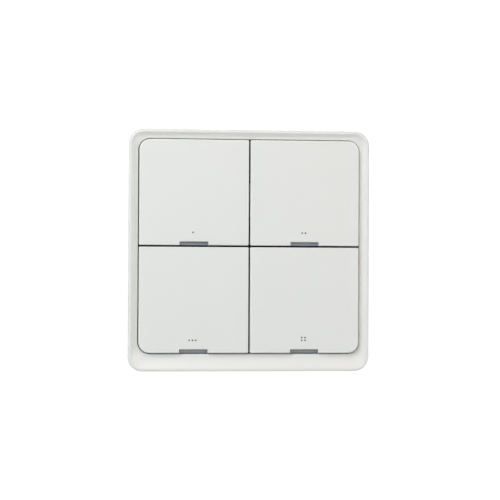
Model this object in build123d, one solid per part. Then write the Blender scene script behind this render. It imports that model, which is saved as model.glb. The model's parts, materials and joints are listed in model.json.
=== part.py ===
from build123d import *
import math
import os

# A four-key push-button light switch for a square wall box.
# Sizes are in millimetres. X runs to the right and Z up for a person who faces the switch.
# The wall is the plane Y = 0. "Out" is the distance from the wall towards that person, so it is
# minus Y, and it is negative for what sits inside the wall box.

# Front plate
PLATE_W = 86.0
PLATE_H = 86.0
PLATE_CORNER_R = 5.3
SIDE_BORDER = 3.4
TOP_BORDER = 3.2
BOTTOM_BORDER = 6.2
PLATE_WALL = 2.0
PLATE_WEB = 1.95
LIP_W = 1.05
LIP_OUTER_R = 0.7
LIP_INNER_R = 0.15
COVE_DROP = 1.25
COVE_START_DEG = 50.0
COVE_BANDS = 5
OPENING_EDGE_R = 0.25
PRY_SLOT_W = 12.0
PRY_SLOT_H = 1.4
PRY_SLOT_DEPTH = 1.2

# Keys
KEY_BLOCK_R = 3.8
KEY_EDGE_GAP = 0.4
KEY_COLUMN_GAP = 0.6
KEY_ROW_GAP = 0.65
KEY_CORNER_R = 0.4
KEY_EDGE_R = 0.35
KEY_WALL = 1.6
KEY_SKIRT_T = 1.4
KEY_PROUD = 1.55
KEY_SWING_DEG = 1.3
SKIRT_AIR = 0.3

# Key hinge
PIN_R = 0.8
PIN_FIT = 0.05
PIN_L = 2.6
PIVOT_DROP = 3.6
PIVOT_AIR = 0.35
LUG_OFFSET = 13.0
LUG_T = 1.2
LUG_R = 1.1
BRACKET_W = 2.2
BRACKET_WALL = 0.6
BRACKET_SIDE_AIR = 0.2
BRACKET_SNAP_W = 1.2

# Hooks that stop each key at its rest position
HOOK_OFFSET = 13.0
HOOK_UP = 4.0
HOOK_W = 2.4
HOOK_T = 1.1
BARB_REACH = 0.7
BARB_L = 0.8
HOOK_PLAY = 0.05
HOOK_AIR = 0.25

# Push switches under the keys
SWITCH_SIZE = 6.0
SWITCH_BASE_H = 3.2
SWITCH_COVER_T = 0.3
SWITCH_H = 4.3
SWITCH_CAVITY_R = 2.4
SWITCH_TRAVEL = 0.4
SWITCH_ARM = 15.4
SWITCH_WINDOW_AIR = 0.3
PLUNGER_R = 1.7
PLUNGER_FIT = 0.08
PLUNGER_FLANGE_R = 2.2
PLUNGER_FLANGE_T = 0.45
PLUNGER_PLAY = 0.02
DOME_R = 2.1
DOME_T = 0.1
DOME_H = 0.6
DOME_AIR = 0.23
RIB_R = 1.2
RIB_L = 0.85
PRESS_GAP = 0.05

# Light guides and their lamps
GUIDE_W = 9.8
GUIDE_H = 1.13
GUIDE_RECESS = 1.4
GUIDE_AIR = 0.12
GUIDE_FIT = 0.05
GUIDE_FLANGE_REACH = 0.7
GUIDE_FLANGE_T = 0.8
LAMP_W = 2.8
LAMP_H = 1.2
LAMP_T = 0.8

# Key carrier
CARRIER_T = 1.4
CARRIER_FIT = 0.2
PLATE_BARB_W = 8.0
PLATE_BARB_REACH = 0.7
PLATE_BARB_L = 1.0
PLATE_BARB_UP = 25.0
CLIP_OFFSET = 28.5
CLIP_W = 6.0
CLIP_T = 1.2
CLIP_BARB_REACH = 0.8
CLIP_BARB_H = 1.3
CLIP_FIT = 0.3

# Button board
BUTTON_BOARD_T = 1.2
BUTTON_BOARD_SIDE = 5.3
BUTTON_BOARD_END = 1.2
BOARD_CORNER_R = 1.5
BOARD_AIR = 0.2
BOARD_SCREW_X = 11.0
BOARD_SCREW_AIR = 1.0
BOARD_SCREW_EDGE = 2.2
BOARD_BOSS_R = 2.0
BOARD_SCREW_R = 0.85
BOARD_SCREW_HEAD_R = 1.9
BOARD_SCREW_HEAD_H = 1.0
BOARD_SCREW_BITE = 0.7
SCREW_END_AIR = 0.4
SCREW_FIT = 0.02
CONTROLLER_SIZE = 7.0
CONTROLLER_T = 1.0
CONTROLLER_UP = -4.0
RADIO_W = 16.0
RADIO_H = 18.0
RADIO_T = 0.8
RADIO_UP = 18.0
SHIELD_W = 12.0
SHIELD_H = 12.0
SHIELD_T = 1.8
SHIELD_WALL = 0.3
RADIO_WINDOW_AIR = 0.5

# Plug between the two boards
HEADER_UP = -18.0
HEADER_COLUMNS = 5
HEADER_ROWS = 2
HEADER_PITCH = 2.54
HEADER_T = 2.5
HEADER_PIN = 0.64
HEADER_PIN_FRONT = 1.0
HEADER_PIN_BACK = 4.0
HEADER_HOLE_R = 0.5
SOCKET_HOLE = 0.9
SOCKET_GAP = 0.1
SOCKET_EDGE = 0.25
SOCKET_WINDOW_AIR = 0.5

# Steel yoke
YOKE_T = 1.0
YOKE_FIT = 0.6
YOKE_CORNER_R = 2.0
WALL_SCREW_PITCH = 60.3
WALL_SLOT_W = 4.3
WALL_SLOT_L = 7.5
YOKE_FLANGE_W = 68.0
YOKE_FLANGE_H = 4.6

# Base cover in front of the yoke
COVER_T = 1.0
COVER_SIDE = 1.1
COVER_END = 5.6
COVER_CORNER_R = 2.0
COVER_BOSS_R = 1.7
COVER_BOSS_L = 4.0
COVER_PILOT_SKIN = 0.2
PEG_R = 1.5
PEG_X = 18.0
PEG_UP = 9.0

# Rear housing
HOUSING_W = 52.0
HOUSING_H = 52.0
HOUSING_DEPTH = 25.0
HOUSING_WALL = 1.6
HOUSING_CORNER_R = 2.5
HOUSING_EDGE_R = 0.8
POST_R = 2.8
POST_INSET = 3.6
HOUSING_SCREW_R = 1.1
HOUSING_SCREW_HOLE_R = 1.3
HOUSING_SCREW_HEAD_R = 2.1
HOUSING_SCREW_HEAD_H = 1.6
HOUSING_WELL_R = 2.25
HOUSING_WELL_DEPTH = 3.0
SHELF_T = 1.2
SHELF_W = 6.0
SHELF_UP = 16.0
VENT_COUNT = 7
VENT_PITCH = 5.0
VENT_W = 1.6
VENT_L = 9.0
VENT_UP = 16.5
LABEL_W = 28.0
LABEL_H = 14.0
LABEL_T = 0.1
LABEL_UP = 1.0
LABEL_CORNER_R = 1.0

# Power board and what it carries
POWER_BOARD_IN = 5.6
POWER_BOARD_T = 1.6
POWER_BOARD_FIT = 0.2
RELAY_W = 10.2
RELAY_L = 18.4
RELAY_H = 15.7
RELAY_PITCH = 11.4
RELAY_UP = -3.4
RELAY_EDGE_R = 0.4
CORE_W = 13.0
CORE_L = 6.0
CORE_H = 11.6
CORE_LEG = 3.4
CORE_YOKE = 2.4
CORE_X = -10.5
CORE_UP = 15.0
WINDING_L = 10.0
WINDING_AIR = 0.1
WINDING_WALL = 2.2
CAPACITOR_RADII = (3.15, 4.0)
CAPACITOR_HEIGHTS = (11.5, 13.5)
CAPACITOR_XS = (1.0, 9.5)
CAPACITOR_UP = 14.0
CAPACITOR_EDGE_R = 0.5
VARISTOR_R = 3.6
VARISTOR_T = 2.6
VARISTOR_X = 17.0
VARISTOR_UP = 12.0
FUSE_R = 1.6
FUSE_L = 6.5
FUSE_X = -19.6
FUSE_UP = 12.0
LEAD_R = 0.35
LEAD_H = 1.2

# Screw terminals along the lower back edge
POLES = 6
POLE_PITCH = 6.35
TERMINAL_END = 0.3
TERMINAL_H = 11.8
TERMINAL_FIT = 0.15
TERMINAL_STEP_IN = 11.0
TERMINAL_EDGE = 0.4
ENTRY_W = 4.8
ENTRY_DEPTH = 8.6
ENTRY_IN = 13.4
CLAMP_T = 0.8
CLAMP_SPACE = 4.4
CLAMP_SIDE_AIR = 0.1
CLAMP_END_AIR = 0.6
PRESSURE_T = 0.9
TERMINAL_WELL_R = 2.3
TERMINAL_WELL_DEPTH = 3.4
TERMINAL_SCREW_UP = 5.4
TERMINAL_SCREW_R = 1.3
TERMINAL_SCREW_FIT = 0.1
TERMINAL_HEAD_R = 2.1
TERMINAL_HEAD_H = 1.8

# Screw drives
DRIVE_W = 0.6
DRIVE_LENGTH_SHARE = 0.65
DRIVE_DEPTH_SHARE = 0.55

# Where things stand out from the wall, worked out from the sizes above
yoke_front = YOKE_T
cover_front = yoke_front + COVER_T
board_back = cover_front + BOARD_AIR
board_front = board_back + BUTTON_BOARD_T
plunger_top = board_front + SWITCH_H
key_under = plunger_top + PRESS_GAP + RIB_L
key_front = key_under + KEY_WALL
cove_low = key_front - KEY_PROUD
lip_front = cove_low + COVE_DROP
web_back = cove_low - PLATE_WEB
carrier_front = web_back
carrier_back = carrier_front - CARRIER_T
housing_back = -HOUSING_DEPTH
power_front = -POWER_BOARD_IN
power_back = power_front - POWER_BOARD_T

# Widths and heights that follow from the plate and its borders
opening_w = PLATE_W - 2 * SIDE_BORDER
opening_h = PLATE_H - TOP_BORDER - BOTTOM_BORDER
opening_up = (BOTTOM_BORDER - TOP_BORDER) / 2
opening_r = KEY_BLOCK_R + KEY_EDGE_GAP
block_w = opening_w - 2 * KEY_EDGE_GAP
block_h = opening_h - 2 * KEY_EDGE_GAP
block_bottom = opening_up - block_h / 2
key_w = (block_w - KEY_COLUMN_GAP) / 2
key_h = (block_h - KEY_ROW_GAP) / 2
column_offset = (key_w + KEY_COLUMN_GAP) / 2
row_offset = (key_h + KEY_ROW_GAP) / 2
inside_w = PLATE_W - 2 * PLATE_WALL
inside_h = PLATE_H - 2 * PLATE_WALL
mouth_w = HOUSING_W - 2 * HOUSING_WALL
mouth_h = HOUSING_H - 2 * HOUSING_WALL

# The push switches' inner places
switch_top = board_front + SWITCH_BASE_H
flange_front = switch_top - PLUNGER_PLAY
cavity_floor = flange_front - PLUNGER_FLANGE_T - SWITCH_TRAVEL - DOME_AIR - DOME_H

# Key hinge places
pivot_r = PIN_R + PIN_FIT + BRACKET_WALL
pivot_out = key_under - PIVOT_AIR - pivot_r
key_reach = (key_h - PIVOT_DROP) * math.sin(math.radians(KEY_SWING_DEG))
skirt_end = carrier_front + key_reach + SKIRT_AIR
notch_w = GUIDE_W + 2 * GUIDE_AIR
notch_h = GUIDE_H + GUIDE_AIR

# Keys 1 and 2 are the upper pair, 3 and 4 the lower pair, from left to right
key_columns = {1: -1, 2: 1, 3: -1, 4: 1}
key_rows = {1: 1, 2: 1, 3: -1, 4: -1}


def key_x(key):
    return key_columns[key] * column_offset


def key_mid(key):
    return opening_up + key_rows[key] * row_offset


def key_top(key):
    return key_mid(key) + key_h / 2


def key_bottom(key):
    return key_mid(key) - key_h / 2


def pivot_up(key):
    return key_top(key) - PIVOT_DROP


def switch_up(key):
    return pivot_up(key) - SWITCH_ARM


def guide_up(key):
    return key_bottom(key) + GUIDE_H / 2


def prism(outline, out_from, out_to):
    """An outline drawn in X and Z, made solid between two distances from the wall."""
    return extrude(Plane.XZ.offset(out_from) * outline, amount=out_to - out_from)


def block(x, up, width, height, out_from, out_to):
    return prism(Pos(x, up) * Rectangle(width, height), out_from, out_to)


def disc(x, up, radius, out_from, out_to):
    return prism(Pos(x, up) * Circle(radius), out_from, out_to)


def rod(radius, x_from, x_to, out, up):
    """A round bar along X."""
    return extrude(Plane.YZ.offset(x_from) * Pos(-out, up) * Circle(radius), amount=x_to - x_from)


def rounded(width, height, radius, up=0.0):
    return Pos(0, up) * RectangleRounded(width, height, radius)


os.makedirs("parts", exist_ok=True)


def save(shapes, name):
    """Write one sub-part: a solid, or a group of separate solids."""
    solids = [solid for shape in shapes for solid in shape.solids()]
    result = solids[0] if len(solids) == 1 else Compound(children=solids)
    export_step(result, f"parts/{name}.step")


# Front plate: a frame with a raised lip and a dished cove that falls towards the keys
def cove_section(share_in, share_down):
    """The cove's outline, a share of the way from the lip to the opening."""
    lip_w = PLATE_W - 2 * LIP_W
    lip_h = PLATE_H - 2 * LIP_W
    lip_r = PLATE_CORNER_R - LIP_W
    outline = rounded(
        lip_w + (opening_w - lip_w) * share_in,
        lip_h + (opening_h - lip_h) * share_in,
        lip_r + (opening_r - lip_r) * share_in,
        opening_up * share_in,
    )
    return Plane.XZ.offset(lip_front - COVE_DROP * share_down) * outline


def cove():
    """The lower part of a quarter ellipse: it falls from the lip and ends level at the keys."""
    start = math.radians(COVE_START_DEG)
    sections = []
    for band in range(COVE_BANDS + 1):
        turn = start + (math.pi / 2 - start) * band / COVE_BANDS
        share_in = 1 - math.cos(turn) / math.cos(start)
        share_down = (math.sin(turn) - math.sin(start)) / (1 - math.sin(start))
        sections.append(cove_section(share_in, share_down))
    return loft(sections)


def plate_barbs():
    """Four barbs on the side walls that catch behind the key carrier."""
    barb_back = carrier_back - HOOK_PLAY - PLATE_BARB_L
    barbs = []
    for side in (-1, 1):
        for up in (-PLATE_BARB_UP, PLATE_BARB_UP):
            x = side * (inside_w - PLATE_BARB_REACH) / 2
            barbs.append(block(x, up, PLATE_BARB_REACH, PLATE_BARB_W, barb_back, carrier_back - HOOK_PLAY))
    return barbs


def bezel_frame():
    frame = prism(rounded(PLATE_W, PLATE_H, PLATE_CORNER_R), 0, lip_front)
    frame = fillet(frame.faces().sort_by(Axis.Y)[0].edges(), LIP_OUTER_R)
    frame -= cove()
    lip = frame.faces().sort_by(Axis.Y)[0]
    frame = fillet(lip.inner_wires()[0].edges(), LIP_INNER_R)
    frame -= prism(rounded(opening_w, opening_h, opening_r, opening_up), 0, cove_low)
    rim = [edge for edge in frame.edges() if abs(edge.center().Y + cove_low) < OPENING_EDGE_R / 2]
    frame = fillet(rim, OPENING_EDGE_R)
    frame -= prism(rounded(inside_w, inside_h, PLATE_CORNER_R - PLATE_WALL), 0, web_back)
    frame -= block(0, -PLATE_H / 2, PRY_SLOT_W, 2 * PRY_SLOT_DEPTH, 0, PRY_SLOT_H)
    for barb in plate_barbs():
        frame += barb
    return frame


# Keys
def key_outline(key, inset):
    """One key's quarter of the key block, drawn in by an inset."""
    whole = rounded(block_w - 2 * inset, block_h - 2 * inset, KEY_BLOCK_R - inset, opening_up)
    corner_r = max(KEY_CORNER_R - inset, KEY_CORNER_R / 2)
    quarter = RectangleRounded(key_w - 2 * inset, key_h - 2 * inset, corner_r)
    outline = whole & Pos(key_x(key), key_mid(key)) * quarter
    notch = Rectangle(notch_w + 2 * inset, 2 * (notch_h + inset))
    return outline - Pos(key_x(key), key_bottom(key)) * notch


def key_lug(key, side):
    """A lug with a stub pin that points away from the key's middle."""
    x = key_x(key) + side * LUG_OFFSET
    up = pivot_up(key)
    root = block(x, up, LUG_T, 2 * LUG_R, pivot_out, key_under)
    eye = rod(LUG_R, x - LUG_T / 2, x + LUG_T / 2, pivot_out, up)
    ends = sorted((x + side * LUG_T / 2, x + side * (LUG_T / 2 + PIN_L)))
    return root + eye + rod(PIN_R, ends[0], ends[1], pivot_out, up)


def key_hook(key, side):
    """A leg through the carrier with a barb behind it, which stops the key at rest."""
    x = key_x(key) + side * HOOK_OFFSET
    up = key_bottom(key) + HOOK_UP
    barb_front = carrier_back - HOOK_PLAY
    leg = block(x, up, HOOK_W, HOOK_T, barb_front - BARB_L, key_under)
    barb_up = up - BARB_REACH / 2
    return leg + block(x, barb_up, HOOK_W, HOOK_T + BARB_REACH, barb_front - BARB_L, barb_front)


def key_cap(key):
    cap = prism(key_outline(key, 0), skirt_end, key_front)
    cap = fillet(cap.faces().sort_by(Axis.Y)[0].edges(), KEY_EDGE_R)
    cap -= prism(key_outline(key, KEY_SKIRT_T), skirt_end, key_under)
    cap += disc(key_x(key), switch_up(key), RIB_R, plunger_top + PRESS_GAP, key_under)
    for side in (-1, 1):
        cap += key_lug(key, side)
        cap += key_hook(key, side)
    return cap


def light_guide(key):
    x = key_x(key)
    up = guide_up(key)
    flange_back = carrier_back - GUIDE_FLANGE_T
    stem = block(x, up, GUIDE_W, GUIDE_H, flange_back, key_front - GUIDE_RECESS)
    reach = 2 * GUIDE_FLANGE_REACH
    return stem + block(x, up, GUIDE_W + reach, GUIDE_H + reach, flange_back, carrier_back)


# Key carrier: the plate that the keys hinge on, with the button board screwed behind it
def beside_lug(key, side, length):
    """Both ends, along X, of what starts a clearance beyond the key's lug."""
    inner = key_x(key) + side * (LUG_OFFSET + LUG_T / 2 + BRACKET_SIDE_AIR)
    return sorted((inner, inner + side * length))


def hinge_hole(key, side):
    """Room in the carrier for the stub pin, cut before the bearing goes in."""
    ends = beside_lug(key, side, PIN_L)
    return block(sum(ends) / 2, pivot_up(key), PIN_L, 2 * pivot_r, carrier_back, carrier_front)


def hinge_bracket(key, side):
    """An open bearing that the key's stub pin snaps into from the front."""
    ends = beside_lug(key, side, BRACKET_W)
    middle = sum(ends) / 2
    up = pivot_up(key)
    bearing = block(middle, up, BRACKET_W, 2 * pivot_r, carrier_back, pivot_out)
    bearing += rod(pivot_r, ends[0], ends[1], pivot_out, up)
    bearing -= rod(PIN_R + PIN_FIT, ends[0], ends[1], pivot_out, up)
    return bearing - block(middle, up, BRACKET_W, BRACKET_SNAP_W, pivot_out, pivot_out + pivot_r)


def lug_window(key, side):
    """Room in the carrier for a key's lug, which dips below the carrier's front."""
    x = key_x(key) + side * LUG_OFFSET
    width = LUG_T + 2 * BRACKET_SIDE_AIR
    return block(x, pivot_up(key), width, 2 * (LUG_R + PIVOT_AIR), carrier_back, carrier_front)


def hook_window(key, side):
    x = key_x(key) + side * HOOK_OFFSET
    up = key_bottom(key) + HOOK_UP
    return block(x, up, HOOK_W + 2 * HOOK_AIR, HOOK_T + 2 * HOOK_AIR, carrier_back, carrier_front)


def board_screw_up():
    """The board screws stand just beyond the base cover's upper and lower edges."""
    return mouth_h / 2 + COVER_END + BOARD_SCREW_AIR + BOARD_SCREW_HEAD_R


def board_screw_places():
    ups = (-board_screw_up(), board_screw_up())
    return [(x, up) for x in (-BOARD_SCREW_X, BOARD_SCREW_X) for up in ups]


def carrier_clip(x, side):
    """An arm whose barb snaps into a window of the yoke's folded edge."""
    arm_face = yoke_edge_inner() - CLIP_FIT
    arm = block(x, side * (arm_face - CLIP_T / 2), CLIP_W, CLIP_T, yoke_front + CLIP_FIT, carrier_back)
    barb_up = side * (arm_face + CLIP_BARB_REACH / 2)
    barb_out = yoke_front + 2 * CLIP_FIT
    return arm + block(x, barb_up, CLIP_W, CLIP_BARB_REACH, barb_out, barb_out + CLIP_BARB_H)


def key_carrier():
    corner_r = PLATE_CORNER_R - PLATE_WALL
    outline = rounded(inside_w - 2 * CARRIER_FIT, inside_h - 2 * CARRIER_FIT, corner_r)
    carrier = prism(outline, carrier_back, carrier_front)
    window = SWITCH_SIZE + 2 * SWITCH_WINDOW_AIR
    for key in key_columns:
        carrier -= block(key_x(key), switch_up(key), window, window, carrier_back, carrier_front)
        slot_w = GUIDE_W + 2 * GUIDE_FIT
        slot_h = GUIDE_H + 2 * GUIDE_FIT
        carrier -= block(key_x(key), guide_up(key), slot_w, slot_h, carrier_back, carrier_front)
        for side in (-1, 1):
            carrier -= lug_window(key, side)
            carrier -= hinge_hole(key, side)
            carrier += hinge_bracket(key, side)
            carrier -= hook_window(key, side)
    radio_w = RADIO_W + 2 * RADIO_WINDOW_AIR
    radio_h = RADIO_H + 2 * RADIO_WINDOW_AIR
    carrier -= block(0, RADIO_UP, radio_w, radio_h, carrier_back, carrier_front)
    for x, up in board_screw_places():
        carrier += disc(x, up, BOARD_BOSS_R, board_front, carrier_back)
        pilot_end = carrier_back + BOARD_SCREW_BITE + SCREW_END_AIR
        carrier -= disc(x, up, BOARD_SCREW_R + SCREW_FIT, board_front, pilot_end)
    for x in (-CLIP_OFFSET, CLIP_OFFSET):
        for side in (-1, 1):
            carrier += carrier_clip(x, side)
    return carrier


# Push switches: base, cover, spring dome and plunger
def switch_base(key):
    base = block(key_x(key), switch_up(key), SWITCH_SIZE, SWITCH_SIZE, board_front, switch_top)
    return base - disc(key_x(key), switch_up(key), SWITCH_CAVITY_R, cavity_floor, switch_top)


def switch_cover(key):
    front = switch_top + SWITCH_COVER_T
    cover = block(key_x(key), switch_up(key), SWITCH_SIZE, SWITCH_SIZE, switch_top, front)
    return cover - disc(key_x(key), switch_up(key), PLUNGER_R + PLUNGER_FIT, switch_top, front)


def switch_plunger(key):
    x = key_x(key)
    up = switch_up(key)
    flange = disc(x, up, PLUNGER_FLANGE_R, flange_front - PLUNGER_FLANGE_T, flange_front)
    return flange + disc(x, up, PLUNGER_R, flange_front, plunger_top)


def switch_dome(key):
    """A thin dished spring disc on the cavity's floor, drawn at its pressed height."""
    radius = (DOME_R**2 + DOME_H**2) / (2 * DOME_H)
    centre = cavity_floor + DOME_H - radius
    place = Pos(key_x(key), -centre, switch_up(key))
    shell = place * (Sphere(radius) - Sphere(radius - DOME_T))
    return shell & disc(key_x(key), switch_up(key), DOME_R, cavity_floor, cavity_floor + DOME_H)


# Button board and what it carries
def button_board_ends():
    """The board reaches past its screws at both ends, and past the lower keys' lamps."""
    screw_end = board_screw_up() + BOARD_SCREW_EDGE
    return min(block_bottom - BUTTON_BOARD_END, -screw_end), screw_end


def header_places():
    xs = [(column - (HEADER_COLUMNS - 1) / 2) * HEADER_PITCH for column in range(HEADER_COLUMNS)]
    ups = [HEADER_UP + (row - (HEADER_ROWS - 1) / 2) * HEADER_PITCH for row in range(HEADER_ROWS)]
    return [(x, up) for x in xs for up in ups]


def button_board():
    bottom, top = button_board_ends()
    width = 2 * (column_offset + BUTTON_BOARD_SIDE)
    board = prism(rounded(width, top - bottom, BOARD_CORNER_R, (top + bottom) / 2), board_back, board_front)
    for x, up in header_places():
        board -= disc(x, up, HEADER_HOLE_R, board_back, board_front)
    for x, up in board_screw_places():
        board -= disc(x, up, BOARD_SCREW_R + PIN_FIT, board_back, board_front)
    return board


def board_screw(x, up):
    tip = carrier_back + BOARD_SCREW_BITE
    return cross_head_screw(x, up, BOARD_SCREW_HEAD_R, BOARD_SCREW_HEAD_H, BOARD_SCREW_R, board_back, tip)


def cross_head_screw(x, up, head_r, head_h, shank_r, seat, tip):
    """A screw whose head, with a cross recess, faces into the wall box."""
    head_back = seat - head_h
    screw = disc(x, up, head_r, head_back, seat) + disc(x, up, shank_r, seat, tip)
    length = 2 * head_r * DRIVE_LENGTH_SHARE
    floor = head_back + head_h * DRIVE_DEPTH_SHARE
    screw -= block(x, up, length, DRIVE_W, head_back, floor)
    return screw - block(x, up, DRIVE_W, length, head_back, floor)


def lamp(key):
    return block(key_x(key), guide_up(key), LAMP_W, LAMP_H, board_front, board_front + LAMP_T)


def radio_shield():
    back = board_front + RADIO_T
    can = block(0, RADIO_UP, SHIELD_W, SHIELD_H, back, back + SHIELD_T)
    inner_w = SHIELD_W - 2 * SHIELD_WALL
    inner_h = SHIELD_H - 2 * SHIELD_WALL
    return can - block(0, RADIO_UP, inner_w, inner_h, back, back + SHIELD_T - SHIELD_WALL)


# Plug and socket between the boards
header_back = board_back - HEADER_T
header_w = HEADER_COLUMNS * HEADER_PITCH
header_h = HEADER_ROWS * HEADER_PITCH


def board_header():
    header = block(0, HEADER_UP, header_w, header_h, header_back, board_back)
    for x, up in header_places():
        header -= block(x, up, HEADER_PIN, HEADER_PIN, header_back, board_back)
    return header


def header_pin(x, up):
    return block(x, up, HEADER_PIN, HEADER_PIN, header_back - HEADER_PIN_BACK, board_front + HEADER_PIN_FRONT)


def board_socket():
    front = header_back - SOCKET_GAP
    width = header_w + 2 * SOCKET_EDGE
    height = header_h + 2 * SOCKET_EDGE
    socket = block(0, HEADER_UP, width, height, power_front, front)
    for x, up in header_places():
        socket -= block(x, up, SOCKET_HOLE, SOCKET_HOLE, header_back - HEADER_PIN_BACK - SOCKET_GAP, front)
    return socket


# Steel yoke that the wall screws hold
def yoke_edge_inner():
    """Height of the inner face of the yoke's folded top edge."""
    return inside_h / 2 - YOKE_FIT - YOKE_T


def mounting_yoke():
    outline = rounded(inside_w - 2 * YOKE_FIT, inside_h - 2 * YOKE_FIT, YOKE_CORNER_R)
    yoke = prism(outline - Rectangle(mouth_w, mouth_h), 0, yoke_front)
    for side in (-1, 1):
        flange_up = side * (yoke_edge_inner() + YOKE_T / 2)
        yoke += block(0, flange_up, YOKE_FLANGE_W, YOKE_T, 0, YOKE_FLANGE_H)
        slot = Pos(side * WALL_SCREW_PITCH / 2, 0) * SlotOverall(WALL_SLOT_L, WALL_SLOT_W)
        yoke -= prism(slot, 0, yoke_front)
        for x in (-CLIP_OFFSET, CLIP_OFFSET):
            window_w = CLIP_W + 2 * CLIP_FIT
            window_back = yoke_front + CLIP_FIT
            window_front = window_back + CLIP_BARB_H + 2 * CLIP_FIT
            yoke -= block(x, flange_up, window_w, YOKE_T, window_back, window_front)
    return yoke


# Base cover: closes the housing's mouth in front of the yoke
def post_places():
    x = HOUSING_W / 2 - POST_INSET
    up = HOUSING_H / 2 - POST_INSET
    return [(side_x * x, side_z * up) for side_x in (-1, 1) for side_z in (-1, 1)]


boss_back = yoke_front - COVER_BOSS_L
pilot_front = cover_front - COVER_PILOT_SKIN


def base_cover():
    outline = rounded(mouth_w + 2 * COVER_SIDE, mouth_h + 2 * COVER_END, COVER_CORNER_R)
    cover = prism(outline, yoke_front, cover_front)
    for x, up in post_places():
        cover += disc(x, up, COVER_BOSS_R, boss_back, yoke_front)
        cover -= disc(x, up, HOUSING_SCREW_R + SCREW_FIT, boss_back, pilot_front)
    for x in (-PEG_X, PEG_X):
        for up in (-PEG_UP, PEG_UP):
            cover += disc(x, up, PEG_R, power_front, yoke_front)
    window_w = header_w + 2 * SOCKET_EDGE + 2 * SOCKET_WINDOW_AIR
    window_h = header_h + 2 * SOCKET_EDGE + 2 * SOCKET_WINDOW_AIR
    return cover - block(0, HEADER_UP, window_w, window_h, yoke_front, cover_front)


# Rear housing
terminal_w = POLES * POLE_PITCH + 2 * TERMINAL_END
terminal_top = -HOUSING_H / 2 + TERMINAL_H
well_floor = housing_back + HOUSING_WELL_DEPTH


def rear_housing():
    housing = prism(rounded(HOUSING_W, HOUSING_H, HOUSING_CORNER_R), housing_back, 0)
    housing = fillet(housing.faces().sort_by(Axis.Y)[-1].edges(), HOUSING_EDGE_R)
    floor = housing_back + HOUSING_WALL
    housing -= block(0, 0, mouth_w, mouth_h, floor, 0)
    for x, up in post_places():
        housing += disc(x, up, POST_R, floor, boss_back)
    for side in (-1, 1):
        for up in (-SHELF_UP, SHELF_UP):
            shelf_x = side * (mouth_w - SHELF_T) / 2
            housing += block(shelf_x, up, SHELF_T, SHELF_W, floor, power_back)
    cut_w = terminal_w + 2 * TERMINAL_FIT
    cut_h = TERMINAL_H + TERMINAL_FIT
    cut_up = -HOUSING_H / 2 + cut_h / 2
    housing -= block(0, cut_up, cut_w, cut_h, housing_back, -TERMINAL_STEP_IN + TERMINAL_FIT)
    for x, up in post_places():
        housing -= disc(x, up, HOUSING_SCREW_HOLE_R, housing_back, boss_back)
        housing -= disc(x, up, HOUSING_WELL_R, housing_back, well_floor)
    for vent in range(VENT_COUNT):
        x = (vent - (VENT_COUNT - 1) / 2) * VENT_PITCH
        slot = Pos(x, VENT_UP) * Rot(0, 0, 90) * SlotOverall(VENT_L, VENT_W)
        housing -= prism(slot, housing_back, floor)
    return housing


def housing_screw(x, up):
    tip = pilot_front - SCREW_END_AIR
    head_r = HOUSING_SCREW_HEAD_R
    head_h = HOUSING_SCREW_HEAD_H
    return cross_head_screw(x, up, head_r, head_h, HOUSING_SCREW_R, well_floor, tip)


# Power board and its parts
def power_board():
    width = mouth_w - 2 * POWER_BOARD_FIT
    height = mouth_h - 2 * POWER_BOARD_FIT
    board = block(0, 0, width, height, power_back, power_front)
    for x, up in post_places():
        board -= disc(x, up, POST_R + POWER_BOARD_FIT, power_back, power_front)
    return board


def relay(number):
    x = (number - (len(key_columns) + 1) / 2) * RELAY_PITCH
    case = block(x, RELAY_UP, RELAY_W, RELAY_L, power_back - RELAY_H, power_back)
    return fillet(case.faces().sort_by(Axis.Y)[-1].edges(), RELAY_EDGE_R)


def transformer_core():
    """Two E-shaped ferrite halves closed on a middle leg."""
    core = block(CORE_X, CORE_UP, CORE_W, CORE_L, power_back - CORE_H, power_back)
    window_w = (CORE_W - CORE_LEG) / 2 - CORE_YOKE
    for side in (-1, 1):
        x = CORE_X + side * (CORE_LEG + window_w) / 2
        core -= block(x, CORE_UP, window_w, CORE_L, power_back - CORE_H + CORE_YOKE, power_back - CORE_YOKE)
    return core


def transformer_winding():
    """The wound bobbin round the middle leg."""
    back = power_back - CORE_H + CORE_YOKE + WINDING_AIR
    front = power_back - CORE_YOKE - WINDING_AIR
    hole_w = CORE_LEG + 2 * WINDING_AIR
    hole_l = CORE_L + 2 * WINDING_AIR
    outer_w = hole_w + 2 * (WINDING_WALL - WINDING_AIR)
    winding = block(CORE_X, CORE_UP, outer_w, WINDING_L, back, front)
    return winding - block(CORE_X, CORE_UP, hole_w, hole_l, back, front)


def capacitors():
    cans = []
    for x, radius, height in zip(CAPACITOR_XS, CAPACITOR_RADII, CAPACITOR_HEIGHTS):
        can = disc(x, CAPACITOR_UP, radius, power_back - height, power_back)
        cans.append(fillet(can.faces().sort_by(Axis.Y)[-1].edges(), CAPACITOR_EDGE_R))
    return cans


def leads(x, up, spread, to_out):
    pair = []
    for side in (-1, 1):
        pair.append(disc(x, up + side * spread / 2, LEAD_R, to_out, power_back))
    return pair


def varistor():
    """A coated disc that stands on its two leads."""
    middle = power_back - LEAD_H - VARISTOR_R
    body = rod(VARISTOR_R, VARISTOR_X - VARISTOR_T / 2, VARISTOR_X + VARISTOR_T / 2, middle, VARISTOR_UP)
    for lead in leads(VARISTOR_X, VARISTOR_UP, VARISTOR_R, middle):
        body += lead
    return body


def fuse_resistor():
    """A small fusible resistor that lies above the board on its leads."""
    middle = power_back - LEAD_H - FUSE_R
    low = FUSE_UP - FUSE_L / 2
    body = extrude(Plane.XY.offset(low) * Pos(FUSE_X, -middle) * Circle(FUSE_R), amount=FUSE_L)
    for lead in leads(FUSE_X, FUSE_UP, FUSE_L - 2 * FUSE_R, middle):
        body += lead
    return body


# Screw terminals
def pole_xs():
    return [(pole - (POLES - 1) / 2) * POLE_PITCH for pole in range(POLES)]


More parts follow.
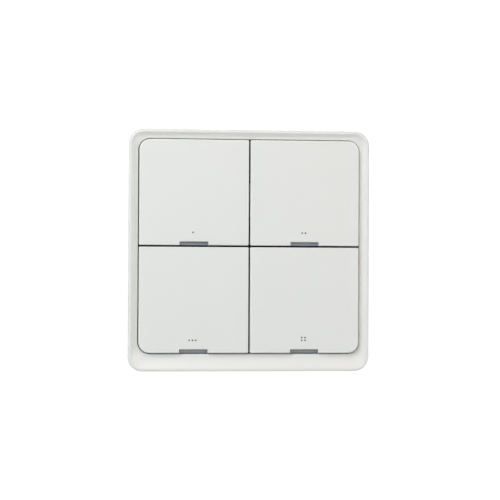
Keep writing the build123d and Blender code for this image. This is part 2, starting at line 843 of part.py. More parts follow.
entry_front = -ENTRY_IN
entry_back = entry_front - CLAMP_T - CLAMP_SPACE - PRESSURE_T
terminal_bottom = -HOUSING_H / 2
entry_top = terminal_bottom + ENTRY_DEPTH
screw_up = terminal_bottom + TERMINAL_SCREW_UP
head_seat = housing_back + TERMINAL_WELL_DEPTH


def terminal_block():
    inner_bottom = -mouth_h / 2 + TERMINAL_FIT
    inner_h = terminal_top - inner_bottom
    body = block(0, (terminal_top + inner_bottom) / 2, terminal_w, inner_h, -TERMINAL_STEP_IN, power_back)
    outer_up = terminal_bottom + TERMINAL_H / 2
    outer = block(0, outer_up, terminal_w, TERMINAL_H, housing_back, -TERMINAL_STEP_IN)
    outer = chamfer(outer.faces().sort_by(Axis.Y)[-1].edges(), TERMINAL_EDGE)
    body += outer
    for x in pole_xs():
        entry_up = (terminal_bottom + entry_top) / 2
        body -= block(x, entry_up, ENTRY_W, ENTRY_DEPTH, entry_back, entry_front)
        body -= disc(x, screw_up, TERMINAL_WELL_R, housing_back, head_seat)
        body -= disc(x, screw_up, TERMINAL_SCREW_R + TERMINAL_SCREW_FIT, head_seat, entry_back)
    return body


def clamp_plate(x, out_from, out_to):
    width = ENTRY_W - 2 * CLAMP_SIDE_AIR
    bottom = terminal_bottom + CLAMP_END_AIR
    return block(x, (bottom + entry_top) / 2, width, entry_top - bottom, out_from, out_to)


def terminal_contacts():
    """The fixed plate of each pole, at the front of its wire entry."""
    return [clamp_plate(x, entry_front - CLAMP_T, entry_front) for x in pole_xs()]


def terminal_pressure_plates():
    """The plate that each screw drives onto the wire."""
    plates = []
    for x in pole_xs():
        plate = clamp_plate(x, entry_back, entry_back + PRESSURE_T)
        hole_r = TERMINAL_SCREW_R
        plates.append(plate - disc(x, screw_up, hole_r, entry_back, entry_back + PRESSURE_T))
    return plates


def terminal_screw(x):
    tip = entry_back + PRESSURE_T
    return cross_head_screw(x, screw_up, TERMINAL_HEAD_R, TERMINAL_HEAD_H, TERMINAL_SCREW_R, head_seat, tip)


def build_front():
    save([bezel_frame()], "bezel_frame")
    save([key_carrier()], "key_carrier")
    for key in key_columns:
        save([key_cap(key)], f"key_{key}")
        save([light_guide(key)], f"light_guide_{key}")
        save([switch_base(key)], f"tact_switch_{key}")
        save([switch_plunger(key)], f"switch_plunger_{key}")
    save([switch_cover(key) for key in key_columns], "switch_covers")
    save([switch_dome(key) for key in key_columns], "switch_domes")
    save([lamp(key) for key in key_columns], "indicator_leds")
    save([button_board()], "button_board")
    save([board_screw(x, up) for x, up in board_screw_places()], "board_screws")
    controller_front = board_front + CONTROLLER_T
    controller = block(0, CONTROLLER_UP, CONTROLLER_SIZE, CONTROLLER_SIZE, board_front, controller_front)
    save([controller], "controller_chip")
    save([block(0, RADIO_UP, RADIO_W, RADIO_H, board_front, board_front + RADIO_T)], "radio_module")
    save([radio_shield()], "radio_shield")
    save([board_header()], "board_header")
    save([header_pin(x, up) for x, up in header_places()], "header_pins")


def build_base():
    save([board_socket()], "board_socket")
    save([mounting_yoke()], "mounting_yoke")
    save([base_cover()], "base_cover")
    save([rear_housing()], "rear_housing")
    save([housing_screw(x, up) for x, up in post_places()], "housing_screws")
    save([power_board()], "power_board")
    for number in key_columns:
        save([relay(number)], f"relay_{number}")
    save([transformer_core()], "transformer_core")
    save([transformer_winding()], "transformer_winding")
    save(capacitors(), "filter_capacitors")
    save([varistor()], "varistor")
    save([fuse_resistor()], "fuse_resistor")
    save([terminal_block()], "terminal_block")
    save(terminal_contacts(), "terminal_contacts")
    save(terminal_pressure_plates(), "terminal_pressure_plates")
    save([terminal_screw(x) for x in pole_xs()], "terminal_screws")
    label = prism(rounded(LABEL_W, LABEL_H, LABEL_CORNER_R, LABEL_UP), housing_back - LABEL_T, housing_back)
    save([label], "rear_label")


build_front()
build_base()
for key in key_columns:
    print(f"key {key} hinge at X {key_x(key):.4f}, Y {-pivot_out:.4f}, Z {pivot_up(key):.4f}")
print(f"plunger moves {SWITCH_ARM} mm per radian of key, key swing {KEY_SWING_DEG} degrees")
print(f"wire space from Y {ENTRY_IN + CLAMP_T:.2f} to {ENTRY_IN + CLAMP_T + CLAMP_SPACE:.2f}")
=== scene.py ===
# %% [markdown]
# # A four-key wall switch
# The switch is a dished white frame round four push keys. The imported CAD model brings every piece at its
# true size and place. Its pieces could be modelled again here, but they would only drift from their sizes,
# so this lesson keeps them and gives them surfaces, prints, light and a camera.

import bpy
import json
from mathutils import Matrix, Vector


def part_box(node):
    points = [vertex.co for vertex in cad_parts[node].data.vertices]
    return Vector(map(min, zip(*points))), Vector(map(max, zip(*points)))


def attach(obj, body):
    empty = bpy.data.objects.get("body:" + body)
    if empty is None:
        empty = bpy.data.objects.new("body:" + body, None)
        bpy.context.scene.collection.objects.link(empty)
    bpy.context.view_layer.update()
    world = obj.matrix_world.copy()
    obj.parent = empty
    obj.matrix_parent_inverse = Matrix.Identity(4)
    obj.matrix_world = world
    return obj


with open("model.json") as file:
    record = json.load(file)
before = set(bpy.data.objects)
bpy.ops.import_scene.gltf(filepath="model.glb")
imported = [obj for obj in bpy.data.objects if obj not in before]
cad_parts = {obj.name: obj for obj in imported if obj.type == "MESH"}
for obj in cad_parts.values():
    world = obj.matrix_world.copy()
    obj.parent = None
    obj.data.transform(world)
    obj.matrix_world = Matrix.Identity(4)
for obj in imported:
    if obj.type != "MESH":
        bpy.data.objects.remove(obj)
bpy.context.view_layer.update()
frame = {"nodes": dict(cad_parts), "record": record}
nodes = frame["nodes"]
MM = 0.001

# %% [markdown]
# ## Sizes, colours and nodes in one line
# Blender works in metres and light is added up in linear values, while a plastics drawing gives
# millimetres and a colour card gives sRGB. `MM`, `linear` and `per_metre` do the changing. Every shader node
# could be wired by hand, but then a material is hidden in its wiring. `add` adds a node with its settings and
# links, and `finish_of` starts a material, so that each one reads as a list of what it is made of.

# %% Helpers for sizes, colours and nodes
import json
import math

import bmesh
import bpy
from mathutils import Matrix, Vector


def linear(code):
    """An sRGB hex colour as linear red, green, blue and alpha."""
    shares = [int(code[place:place + 2], 16) / 255 for place in (0, 2, 4)]
    return [s / 12.92 if s <= 0.04045 else ((s + 0.055) / 1.055) ** 2.4 for s in shares] + [1.0]


def per_metre(size_mm):
    """The texture scale that makes one cell of a pattern as large as a real size."""
    return 1 / (size_mm * MM)


def add(tree, kind, inputs=None, give=None, **settings):
    """Add a node, set it up, give each input a value or a link, and return the output that is wanted."""
    made = tree.nodes.new("ShaderNode" + kind)
    for name, value in settings.items():
        setattr(made, name, value)
    for name, value in (inputs or {}).items():
        same_name = [s for s in made.inputs if s.name == name and not s.is_unavailable]
        socket = same_name[0] if same_name else made.inputs[name]
        if isinstance(value, bpy.types.NodeSocket):
            tree.links.new(value, socket)
        else:
            socket.default_value = value
    outputs = [s for s in made.outputs if not s.is_unavailable and give in (None, s.name)]
    return outputs[0] if outputs else None


def finish_of(name, color, roughness, metallic=0.0, **sockets):
    """A new material: its tree, its shader, and object coordinates for its patterns."""
    material = bpy.data.materials.new(name)
    material.use_nodes = True
    tree = material.node_tree
    shader = tree.nodes["Principled BSDF"]
    shader.inputs["Base Color"].default_value = linear(color)
    shader.inputs["Roughness"].default_value = roughness
    shader.inputs["Metallic"].default_value = metallic
    for socket, value in sockets.items():
        shader.inputs[socket.replace("_", " ")].default_value = value
    return material, tree, shader, add(tree, "TexCoord", give="Object")


# %% [markdown]
# ## Where the photographer stood
# The four key corners in the photograph make a rectangle that narrows to the right, so the camera stood
# a little to the left. The gaps show a little more under the keys than over them, so it also stood a
# trace low. A lens of portrait length gives the same faint perspective. The camera could be turned by hand
# until it fits, but angles and a distance are easier to correct against measured edges: azimuth counts to
# the right of the front and elevation above it.

# %% The camera
PHOTO_AZIMUTH = -4.3
PHOTO_ELEVATION = -0.7
PHOTO_ROLL = 0.28
PHOTO_DISTANCE = 430 * MM
PHOTO_WIDTH = 178.3 * MM
LOOK_AT = Vector((0.27, -9.0, 0.22)) * MM
SENSOR_WIDTH = 36.0


def direction(azimuth, elevation):
    """A unit vector from the switch towards whoever looks at it from these angles, in degrees."""
    turn = Matrix.Rotation(math.radians(azimuth), 3, "Z") @ Matrix.Rotation(math.radians(-elevation), 3, "X")
    return turn @ Vector((0, -1, 0))


towards_camera = direction(PHOTO_AZIMUTH, PHOTO_ELEVATION)
camera_data = bpy.data.cameras.new("photo_camera")
camera_data.sensor_width = SENSOR_WIDTH
camera_data.lens = SENSOR_WIDTH * PHOTO_DISTANCE / PHOTO_WIDTH
camera = bpy.data.objects.new("photo_camera", camera_data)
bpy.context.collection.objects.link(camera)
camera.location = LOOK_AT + towards_camera * PHOTO_DISTANCE
level = (-towards_camera).to_track_quat("-Z", "Y").to_matrix()
camera.rotation_euler = (level @ Matrix.Rotation(math.radians(PHOTO_ROLL), 3, "Z")).to_euler()
bpy.context.scene.camera = camera
print("lens", round(camera_data.lens, 1), "mm, camera at", [round(v, 3) for v in camera.location])

# %% [markdown]
# ## A white studio
# The background in the photograph is pure white, but white light from all sides would flatten the dished
# frame, and a lit backdrop would do the same. So the camera sees a bright world while the switch is lit by
# another one: almost dark in front, where the soft boxes draw the shape, and pale behind, so that the
# metals on the back have something to mirror. The Standard view transform keeps the white at full white.

# %% The world
scene = bpy.context.scene
scene.view_settings.view_transform = "Standard"
WORLD_SEEN = 1.1
FRONT_LIGHT = 0.01
BACK_LIGHT = 0.4
BACK_BEGINS = 0.1
BACK_FULL = 0.8

world = bpy.data.worlds.new("white_studio")
scene.world = world
world.use_nodes = True
sky = world.node_tree
sky.nodes.clear()
backward = add(sky, "SeparateXYZ", {"Vector": add(sky, "TexCoord", give="Generated")}, give="Y")
glow = add(sky, "MapRange", {"Value": backward, "From Min": BACK_BEGINS, "From Max": BACK_FULL,
                             "To Min": FRONT_LIGHT, "To Max": BACK_LIGHT}, interpolation_type="SMOOTHSTEP")
seen = add(sky, "Background", {"Color": linear("FFFFFF"), "Strength": WORLD_SEEN})
lit = add(sky, "Background", {"Color": linear("FFFFFF"), "Strength": glow})
is_camera = add(sky, "LightPath", give="Is Camera Ray")
either = add(sky, "MixShader", {0: is_camera, 1: lit, 2: seen})
add(sky, "OutputWorld", {"Surface": either})
print("world light", FRONT_LIGHT, "in front and", BACK_LIGHT, "behind")

# %% [markdown]
# ## Soft boxes
# The upper inner slope of the frame is dark and the lower and right ones are bright, so the main light
# comes from the upper left. The left slope is nearly as bright as the keys, so a second light comes from
# the right. The shadow beside the right keys is warm and reaches far, so a weak cool light grazes from the
# left. A faint warm one from above brought the sum of all tones closer to the photograph. The keys get
# darker downward, so the boxes stand near: a sun lamp would light them all alike. Two more light the back
# for other views.

# %% The lights
BOX_DISTANCE = 0.8
BOX_SIDE = 0.5
SOFT_BOXES = {
    "left_high_box": {"azimuth": -30, "elevation": 37, "watts": 4.8, "color": "FFFFFE"},
    "left_low_box": {"azimuth": -60, "elevation": 5, "watts": 1.45, "color": "CBE8FF"},
    "right_box": {"azimuth": 60, "elevation": 4, "watts": 2.6, "color": "FFFDF7"},
    "top_box": {"azimuth": 0, "elevation": 65, "watts": 0.6, "color": "FFCF98"},
    "rear_box": {"azimuth": 160, "elevation": 30, "watts": 3.6, "color": "FFFFFF"},
    "rear_side_box": {"azimuth": -130, "elevation": 10, "watts": 1.2, "color": "FFFFFF"},
}


def soft_box(name, azimuth, elevation, watts, color):
    """A square area light that faces the switch."""
    towards = direction(azimuth, elevation)
    data = bpy.data.lights.new(name, "AREA")
    data.size = BOX_SIDE
    data.energy = watts
    data.color = linear(color)[:3]
    box = bpy.data.objects.new(name, data)
    bpy.context.collection.objects.link(box)
    box.location = towards * BOX_DISTANCE
    box.rotation_euler = (-towards).to_track_quat("-Z", "Y").to_euler()
    return box


for box_name, box in SOFT_BOXES.items():
    print(soft_box(box_name, **box).name, box["watts"], "W")

# %% [markdown]
# ## The floor
# A wall switch hangs above the floor, so the floor is a plain pale disc well below it. A studio floor
# runs up into the backdrop in one sweep. It could be modelled as one, but the sweep would show in low views
# and hide the switch from behind. Here the paint fades to the backdrop's white instead, for the camera
# alone, so no edge shows from above, nothing shows in the front view and no light is added.

# %% Pale painted floor
FLOOR_DROP = 0.42
FLOOR_RADIUS = 3.0
FLOOR_SIDES = 128
FADE_FROM = 0.45
FADE_TO = 1.25
ROLLER_MM = 6.0
PAINT = "F3F3F1"
PAINT_THIN = "F1F1EF"
PAINT_THICK = "F5F5F3"
PAINT_ROUGHNESS = 0.8


def floor_paint():
    """Matt floor paint with a faint roller mottle that fades to white light far out."""
    material, tree, shader, place = finish_of("matt_floor_paint", PAINT, PAINT_ROUGHNESS)
    mottle = add(tree, "TexNoise", {"Vector": place, "Scale": per_metre(ROLLER_MM)})
    tones = add(tree, "Mix", {"Factor": mottle, "A": linear(PAINT_THIN), "B": linear(PAINT_THICK)},
                data_type="RGBA")
    tree.links.new(tones, shader.inputs["Base Color"])
    flat = add(tree, "VectorMath", {0: place, 1: (1, 1, 0)}, operation="MULTIPLY")
    reach = add(tree, "VectorMath", {0: flat}, give="Value", operation="LENGTH")
    fade = add(tree, "MapRange", {"Value": reach, "From Min": FADE_FROM, "From Max": FADE_TO},
               interpolation_type="SMOOTHSTEP")
    camera_only = add(tree, "Math", {0: fade, 1: add(tree, "LightPath", give="Is Camera Ray")},
                      operation="MULTIPLY")
    white = add(tree, "Emission", {"Color": linear("FFFFFF"), "Strength": WORLD_SEEN})
    sweep = add(tree, "MixShader", {0: camera_only, 1: shader.outputs["BSDF"], 2: white})
    tree.links.new(sweep, tree.nodes["Material Output"].inputs["Surface"])
    return material


floor_mesh = bpy.data.meshes.new("floor")
floor_shape = bmesh.new()
bmesh.ops.create_circle(floor_shape, cap_ends=True, segments=FLOOR_SIDES, radius=FLOOR_RADIUS)
bmesh.ops.translate(floor_shape, verts=floor_shape.verts, vec=(0, 0, -FLOOR_DROP))
floor_shape.to_mesh(floor_mesh)
floor = bpy.data.objects.new("floor", floor_mesh)
bpy.context.collection.objects.link(floor)
floor_mesh.materials.append(floor_paint())
print("floor", FLOOR_DROP, "m below the switch")

# %% [markdown]
# ## Moulded plastics
# Most of the switch is moulded plastic. Its surface copies the mould: spark-eroded steel gives a fine
# matt grain and polished steel gives gloss. The melt's flow leaves a slow, faint change of tone. The grain
# could be real displacement, but it is far finer than the mesh, so it is bump. One function makes them
# all, because they differ in colour, grain and gloss and not in kind.

# %% A moulded plastic
FLOW_MM = 24.0
GLOSS_PLAY = 0.05
RELIEF_STRENGTH = 0.5
SOFT_DETAIL = 2.0
FINE_DETAIL = 3.0


def tinted(tree, shader, share, color, other):
    """Lay two colours over the surface, mixed by a pattern."""
    tones = add(tree, "Mix", {"Factor": share, "A": linear(color), "B": linear(other)}, data_type="RGBA")
    tree.links.new(tones, shader.inputs["Base Color"])


def grained(tree, shader, height, depth_mm, roughness):
    """Let a pattern stand up by a real depth and break the gloss a little."""
    relief = add(tree, "Bump", {"Height": height, "Distance": depth_mm * MM, "Strength": RELIEF_STRENGTH})
    tree.links.new(relief, shader.inputs["Normal"])
    low, high = roughness - GLOSS_PLAY, roughness + GLOSS_PLAY
    gloss = add(tree, "MapRange", {"Value": height, "To Min": low, "To Max": high})
    tree.links.new(gloss, shader.inputs["Roughness"])


def moulded(name, color, flow_color, roughness, grain_mm, depth_mm, **sockets):
    """A plastic with mould grain as bump and a slow change of tone where it flowed."""
    material, tree, shader, place = finish_of(name, color, roughness, **sockets)
    flow = add(tree, "TexNoise", {"Vector": place, "Scale": per_metre(FLOW_MM), "Detail": SOFT_DETAIL})
    tinted(tree, shader, flow, color, flow_color)
    grain = add(tree, "TexNoise", {"Vector": place, "Scale": per_metre(grain_mm), "Detail": FINE_DETAIL})
    grained(tree, shader, grain, depth_mm, roughness)
    return material


# %% [markdown]
# ### White polycarbonate
# The frame, the keys and the housing are white polycarbonate (IOR 1.585), filled with titanium white. The
# real spark-eroded grain is about 0.1 mm, too fine to show from here. It is drawn at 0.3 mm, where it still
# reads as a soft matt skin and breaks up the highlight on the rounded edges.

# %% The white pieces
POLYCARBONATE_IOR = 1.585
finishes = {
    # Matt enough to spread the highlight on the lip into a soft pale band
    "plate_white": moulded("polycarbonate_spark_eroded_frame", "EAEAE8", "ECEBE9",
                           roughness=0.48, grain_mm=0.3, depth_mm=0.008, IOR=POLYCARBONATE_IOR),
    # A shallower grain, so the flat keys keep a trace of sheen beside the frame
    "key_white": moulded("polycarbonate_fine_matt_key", "E9EAE8", "EBECEA",
                         roughness=0.42, grain_mm=0.3, depth_mm=0.005, IOR=POLYCARBONATE_IOR),
    # Greyer and yellower from its flame retardant, with a coarser grain that is never seen on the wall
    "housing_white": moulded("polycarbonate_flame_retardant_housing", "E0E0DA", "D9D9D2",
                             roughness=0.4, grain_mm=0.5, depth_mm=0.012, IOR=POLYCARBONATE_IOR),
}
print(len(finishes), "white finishes")

# %% [markdown]
# ### Smoky light guides
# A light guide is polycarbonate with a smoke dye and a little diffusing powder, moulded in a polished
# cavity. Unlit it is a blue-grey bar with a clean gloss. It could be made to let light through, but the
# powder hides its inside, so a dyed body under a clear gloss gives the same look with less noise. The
# powder clouds it very slightly.

# %% The light guides
GUIDE_CLOUD_MM = 1.6
GUIDE_DYE = "9FA4AB"
GUIDE_POWDER = "A8ACB3"
GUIDE_ROUGHNESS = 0.22
GLOSS_LAYER = 0.25
GLOSS_ROUGHNESS = 0.1


def smoke_dyed():
    """Polished dyed polycarbonate: a tight gloss over a faintly cloudy body."""
    material, tree, shader, place = finish_of("polycarbonate_smoke_diffusing", GUIDE_DYE, GUIDE_ROUGHNESS,
                                              IOR=POLYCARBONATE_IOR, Coat_Weight=GLOSS_LAYER,
                                              Coat_Roughness=GLOSS_ROUGHNESS)
    cloud = add(tree, "TexNoise", {"Vector": place, "Scale": per_metre(GUIDE_CLOUD_MM), "Detail": SOFT_DETAIL})
    tinted(tree, shader, cloud, GUIDE_DYE, GUIDE_POWDER)
    return material


finishes["guide_smoke"] = smoke_dyed()
print(finishes["guide_smoke"].name)

# %% [markdown]
# ### The plastics inside
# The carrier is black ABS, the cover is grey ABS with a flame retardant and the terminals are glass-filled
# polyamide. Chips are moulded epoxy, the plungers are acetal and the relay cases are PBT. They show through
# the vents, the slots and the gaps, and fully when a key or the housing is left out of a view. Each starts
# from its resin's own IOR and is told from the next by its gloss and grain more than by its colour.

# %% Cases and frames inside
finishes.update({
    # Dull black, which keeps the gaps between the keys dark
    "carrier_black": moulded("abs_black_matt", "1B1B1C", "222223",
                             roughness=0.55, grain_mm=0.4, depth_mm=0.012, IOR=1.53),
    # A plain mid grey that separates the cover from the zinc in front of it
    "cover_grey": moulded("abs_flame_retardant_grey", "9A9C9F", "A2A4A6",
                          roughness=0.5, grain_mm=0.4, depth_mm=0.012, IOR=1.53),
    # Waxy green with a slightly cloudy tone
    "terminal_green": moulded("polyamide_glass_filled_green", "2C8A55", "37935F",
                              roughness=0.36, grain_mm=0.35, depth_mm=0.01, IOR=1.53),
    # Flat grey-black with a sandy skin, as chips have
    "chip_black": moulded("epoxy_moulded_black", "242426", "2B2B2D",
                          roughness=0.6, grain_mm=0.15, depth_mm=0.006, IOR=1.55),
    # Slightly shiny, smoother than the carrier round it
    "plunger_black": moulded("acetal_black", "1D1D1E", "232324",
                             roughness=0.32, grain_mm=0.5, depth_mm=0.004, IOR=1.48),
    # Polished, with small clear highlights
    "relay_case": moulded("pbt_polished_black", "1F2023", "26272A",
                          roughness=0.24, grain_mm=0.9, depth_mm=0.003, IOR=1.55),
})
print(len(finishes), "finishes so far")

# %% [markdown]
# ### Sleeves, tape and dipped coats
# Some parts aren't moulded but covered: capacitors in shrunk sleeve, the winding in polyester tape, the
# varistor and the fuse in coats that they were dipped in. A cover sags and wrinkles on a scale of 1 mm or
# more. The same function serves with a wider and deeper grain, because that is all that sets them apart.

# %% Covered parts
finishes.update({
    # Tight and glossy, drawn into faint wrinkles
    "capacitor_sleeve": moulded("pvc_shrunk_sleeve_black", "202128", "282932",
                                roughness=0.22, grain_mm=2.4, depth_mm=0.02, IOR=1.53),
    # Warm amber with broad soft ripples
    "winding_tape": moulded("polyester_winding_tape_amber", "C9A240", "D3AE50",
                            roughness=0.28, grain_mm=1.8, depth_mm=0.03, IOR=1.6),
    # Thick blue lacquer with an orange-peel skin
    "varistor_coat": moulded("epoxy_dipped_blue", "2A4F9C", "3159A8",
                             roughness=0.3, grain_mm=1.1, depth_mm=0.05, IOR=1.55),
    # Chalky cement, dry to the eye
    "fuse_coat": moulded("cement_coated_green", "3F7F5A", "4B8B66",
                         roughness=0.7, grain_mm=0.5, depth_mm=0.04, IOR=1.5),
    # Pale yellow and glossy, the colour of the phosphor in the resin
    "lamp_white": moulded("epoxy_lamp_phosphor", "EFE6B8", "E8DC9C",
                          roughness=0.25, grain_mm=0.6, depth_mm=0.004, IOR=1.5),
})
print(len(finishes), "finishes so far")

# %% [markdown]
# ### Metals
# Sheet metal carries fine lines along the rolling direction, and plating dulls or tints it: bright zinc is
# blue-white with a cloudy look, nickel is warmer and closer to a mirror, brass is bare and yellow. An
# anisotropic shader would stretch the highlight but draw no lines, so the lines are a noise pattern
# stretched along X by a Mapping node.

# %% Rolled and plated metals
LINE_LENGTH_MM = 14.0
CLOUD_MM = 5.0


def rolled_metal(name, color, cloud_color, roughness, line_mm, depth_mm):
    """A metal with rolling lines along X and a cloudy plating."""
    material, tree, shader, place = finish_of(name, color, roughness, metallic=1.0)
    stretch = (per_metre(LINE_LENGTH_MM), per_metre(line_mm), per_metre(line_mm))
    along = add(tree, "Mapping", {"Vector": place, "Scale": stretch})
    lines = add(tree, "TexNoise", {"Vector": along, "Scale": 1.0, "Detail": SOFT_DETAIL})
    grained(tree, shader, lines, depth_mm, roughness)
    cloud = add(tree, "TexNoise", {"Vector": place, "Scale": per_metre(CLOUD_MM), "Detail": FINE_DETAIL})
    tinted(tree, shader, cloud, color, cloud_color)
    return material


finishes.update({
    # Blue-white and cloudy, with soft streaks across the yoke
    "zinc_steel": rolled_metal("steel_rolled_zinc_plated", "AEB4BB", "CBCDCA",
                               roughness=0.34, line_mm=0.5, depth_mm=0.012),
    # Warmer and brighter, with sharp small highlights on the screw heads
    "bright_steel": rolled_metal("steel_nickel_plated", "C9C5BC", "D2CFC7",
                                 roughness=0.22, line_mm=0.3, depth_mm=0.004),
    # Yellow and bare, seen down the wire entries
    "contact_brass": rolled_metal("brass_bright", "CBA45A", "D6B36C",
                                  roughness=0.26, line_mm=0.3, depth_mm=0.005),
})
print(len(finishes), "finishes so far")

# %% [markdown]
# ### Circuit boards
# A board is glass cloth in epoxy with copper on it, under a coloured solder mask. The mask is darker over
# bare laminate and lighter over copper, and the cloth's 0.5 mm weave shows through it as a faint relief.
# Real tracks could be cut as meshes, but the boards lie deep inside, so square cells of a Voronoi pattern
# stand for the copper areas.

# %% Solder-masked boards
CLOTH_MM = 0.5
COPPER_MM = 2.6
COPPER_SHARE = 0.56
CLOTH_DEPTH_MM = 0.004
MASK_ROUGHNESS = 0.3
EPOXY_IOR = 1.55


def masked_board(name, over_laminate, over_copper):
    """Solder mask over copper areas with straight sides, with the weave of the cloth underneath."""
    material, tree, shader, place = finish_of(name, over_copper, MASK_ROUGHNESS, IOR=EPOXY_IOR)
    areas = add(tree, "TexVoronoi", {"Vector": place, "Scale": per_metre(COPPER_MM)}, give="Color",
                distance="CHEBYCHEV")
    random_share = add(tree, "SeparateColor", {"Color": areas}, give="Red")
    is_copper = add(tree, "Math", {0: random_share, 1: COPPER_SHARE}, operation="LESS_THAN")
    tinted(tree, shader, is_copper, over_laminate, over_copper)
    warp = add(tree, "TexWave", {"Vector": place, "Scale": per_metre(CLOTH_MM) / math.tau}, give="Fac",
               bands_direction="X")
    weft = add(tree, "TexWave", {"Vector": place, "Scale": per_metre(CLOTH_MM) / math.tau}, give="Fac",
               bands_direction="Z")
    cloth = add(tree, "Math", {0: warp, 1: weft}, operation="MULTIPLY")
    grained(tree, shader, cloth, CLOTH_DEPTH_MM, MASK_ROUGHNESS)
    return material


# Glossy green on the main boards, and blue on the radio module to tell it apart
finishes["board_green"] = masked_board("glass_epoxy_green_mask", "123F26", "1D5C38")
finishes["board_blue"] = masked_board("glass_epoxy_blue_mask", "16264A", "213767")
print(len(finishes), "finishes so far")

# %% [markdown]
# ### Ground ferrite
# A transformer core is pressed and fired ferrite, a grey-black ceramic. Its faces are ground, so they are
# dull with small pores. A Voronoi pattern's distance gives such pits in relief, and paints shade into them by
# darkening the colour towards each pit's middle.

# %% Ferrite
PORE_MM = 0.45
FERRITE = "3A3B3E"
PAINTED_PORE_SHADE = "2A2B2D"
GROUND_LIGHT = "47484B"
PORE_DEPTH_MM = 0.02
GROUND_ROUGHNESS = 0.62


def ground_ferrite():
    """A fired ceramic whose ground face is dull and pitted, with shade painted into the pits."""
    material, tree, shader, place = finish_of("ferrite_ground", FERRITE, GROUND_ROUGHNESS)
    pores = add(tree, "TexVoronoi", {"Vector": place, "Scale": per_metre(PORE_MM)}, give="Distance")
    # Painted shade: the colour darkens towards the middle of each pit, where the relief sinks.
    tinted(tree, shader, pores, PAINTED_PORE_SHADE, GROUND_LIGHT)
    grained(tree, shader, pores, PORE_DEPTH_MM, GROUND_ROUGHNESS)
    return material


finishes["ferrite"] = ground_ferrite()
print(finishes["ferrite"].name)

# %% [markdown]
# ### The bare label
# The rating label on the back is a self-adhesive silver-white polyester film. Nothing is written on it. A
# thin grey keyline is printed round it. Another mesh could carry the line, but ink has next to no height,
# so the material draws it from the distance to the label's edge.

# %% Label film
KEYLINE_IN_MM = 1.3
KEYLINE_W_MM = 0.25
BRUSHED_MM = 0.8
FILM = "CDD0D2"
FILM_SHEEN = "D9DBDC"
KEYLINE = "8E9193"
FILM_ROUGHNESS = 0.35
FILM_METALLIC = 0.25


def label_film():
    """Silver-white film with one printed keyline at a set distance inside its edge."""
    low, high = (Vector(corner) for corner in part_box("rear_label"))
    middle, half = (low + high) / 2, (high - low) / 2
    material, tree, shader, place = finish_of("polyester_label_film", FILM, FILM_ROUGHNESS,
                                              metallic=FILM_METALLIC)
    centred = add(tree, "VectorMath", {0: place, 1: middle}, operation="SUBTRACT")
    away = add(tree, "VectorMath", {0: centred}, operation="ABSOLUTE")
    inside = add(tree, "VectorMath", {0: half, 1: away}, operation="SUBTRACT")
    parts = add(tree, "SeparateXYZ", {"Vector": inside}).node
    nearest = add(tree, "Math", {0: parts.outputs["X"], 1: parts.outputs["Z"]}, operation="MINIMUM")
    on_line = add(tree, "Math", {0: nearest, 1: KEYLINE_IN_MM * MM, 2: KEYLINE_W_MM / 2 * MM},
                  operation="COMPARE")
    brushed = add(tree, "TexNoise", {"Vector": place, "Scale": per_metre(BRUSHED_MM)})
    sheen = add(tree, "Mix", {"Factor": brushed, "A": linear(FILM), "B": linear(FILM_SHEEN)},
                data_type="RGBA")
    tones = add(tree, "Mix", {"Factor": on_line, "A": sheen, "B": linear(KEYLINE)}, data_type="RGBA")
    tree.links.new(tones, shader.inputs["Base Color"])
    return material


# A cool satin white that stands out from the housing's warmer one
finishes["label_paper"] = label_film()
print(finishes["label_paper"].name)

# %% [markdown]
# ## Dress the CAD pieces
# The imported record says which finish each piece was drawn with. Each of the 48 pieces could be named here,
# but one loop over the record dresses them all and can't miss one.

# %% Put the finishes on
for row in frame["record"]["subparts"]:
    surface = nodes[row["node"]].data.materials
    surface.clear()
    surface.append(finishes[row["material_slot"]])
print(len(nodes), "pieces dressed in", len(finishes), "finishes")

# %% [markdown]
# ## One dot of ink
# Each key carries one to four small grey dots that tell the keys apart. They are pad-printed: a soft pad
# sets down a drop of ink that dries to a film of about 0.02 mm, a little thicker in the middle. The key's
# material could draw them, but ink has an edge and a thickness. A circle, extruded and inset with some
# depth, gives that film real thickness.

# %% A dot and its ink
DOT_RADIUS = 0.31 * MM
DOT_SIDES = 28
INK_FILM = 0.014 * MM
INK_SHOULDER = 0.05 * MM
INK_CROWN = 0.008 * MM
INK_SUNK = 0.004 * MM
INK_GRAIN_MM = 0.12
# Matt mid grey, which looks lighter than it is because a dot is smaller than two pixels
INK = moulded("pad_printing_ink_grey", "585A5C", "646668",
              roughness=0.55, grain_mm=INK_GRAIN_MM, depth_mm=0.002)


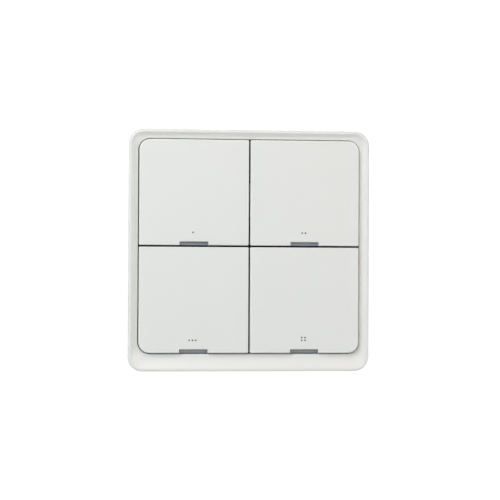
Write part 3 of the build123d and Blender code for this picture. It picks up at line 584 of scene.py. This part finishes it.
def ink_dot(shape, center):
    """One dot of dried ink, standing on the key and facing the camera."""
    facing = Matrix.Translation(center) @ Matrix.Rotation(math.pi / 2, 4, "X")
    ring = bmesh.ops.create_circle(shape, cap_ends=True, segments=DOT_SIDES, radius=DOT_RADIUS, matrix=facing)
    base = {face for vert in ring["verts"] for face in vert.link_faces}
    raised = bmesh.ops.extrude_face_region(shape, geom=list(base))["geom"]
    verts = [part for part in raised if isinstance(part, bmesh.types.BMVert)]
    bmesh.ops.translate(shape, verts=verts, vec=(0, -INK_FILM - INK_SUNK, 0))
    front = [part for part in raised if isinstance(part, bmesh.types.BMFace)]
    bmesh.ops.inset_region(shape, faces=front, thickness=INK_SHOULDER, depth=INK_CROWN)


print("ink", INK.name)

# %% [markdown]
# ## One to four dots on each key
# The dots stand in a row over the light guide, and the fourth key has a square of four. Each key's dots are
# one piece that rides on its key, so a press takes them along. Their places are counted in steps from the
# first dot, which is easier to check against the photograph than a list of coordinates.

# %% Print the dots
DOT_PITCH = 1.18 * MM
DOT_ROWS = 1.0 * MM
DOT_UP = 4.5 * MM
DOT_LEFT = 0.33 * MM
DOT_PLACES = {
    1: [(0, 0)],
    2: [(-0.5, 0), (0.5, 0)],
    3: [(-1, 0), (0, 0), (1, 0)],
    4: [(-0.5, 0), (0.5, 0), (-0.5, 1), (0.5, 1)],
}

for key, places in DOT_PLACES.items():
    key_low, key_high = (Vector(corner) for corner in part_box(f"key_{key}"))
    first = Vector(((key_low.x + key_high.x) / 2 - DOT_LEFT, key_low.y + INK_SUNK, key_low.z + DOT_UP))
    shape = bmesh.new()
    for across, up in places:
        ink_dot(shape, first + Vector((across * DOT_PITCH, 0, up * DOT_ROWS)))
    bmesh.ops.recalc_face_normals(shape, faces=shape.faces)
    mesh = bpy.data.meshes.new(f"count_dots_{key}")
    shape.to_mesh(mesh)
    mesh.materials.append(INK)
    dots = bpy.data.objects.new(f"count_dots_{key}", mesh)
    bpy.context.collection.objects.link(dots)
    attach(dots, f"key_{key}_body")
    print(dots.name, len(mesh.polygons), "faces")
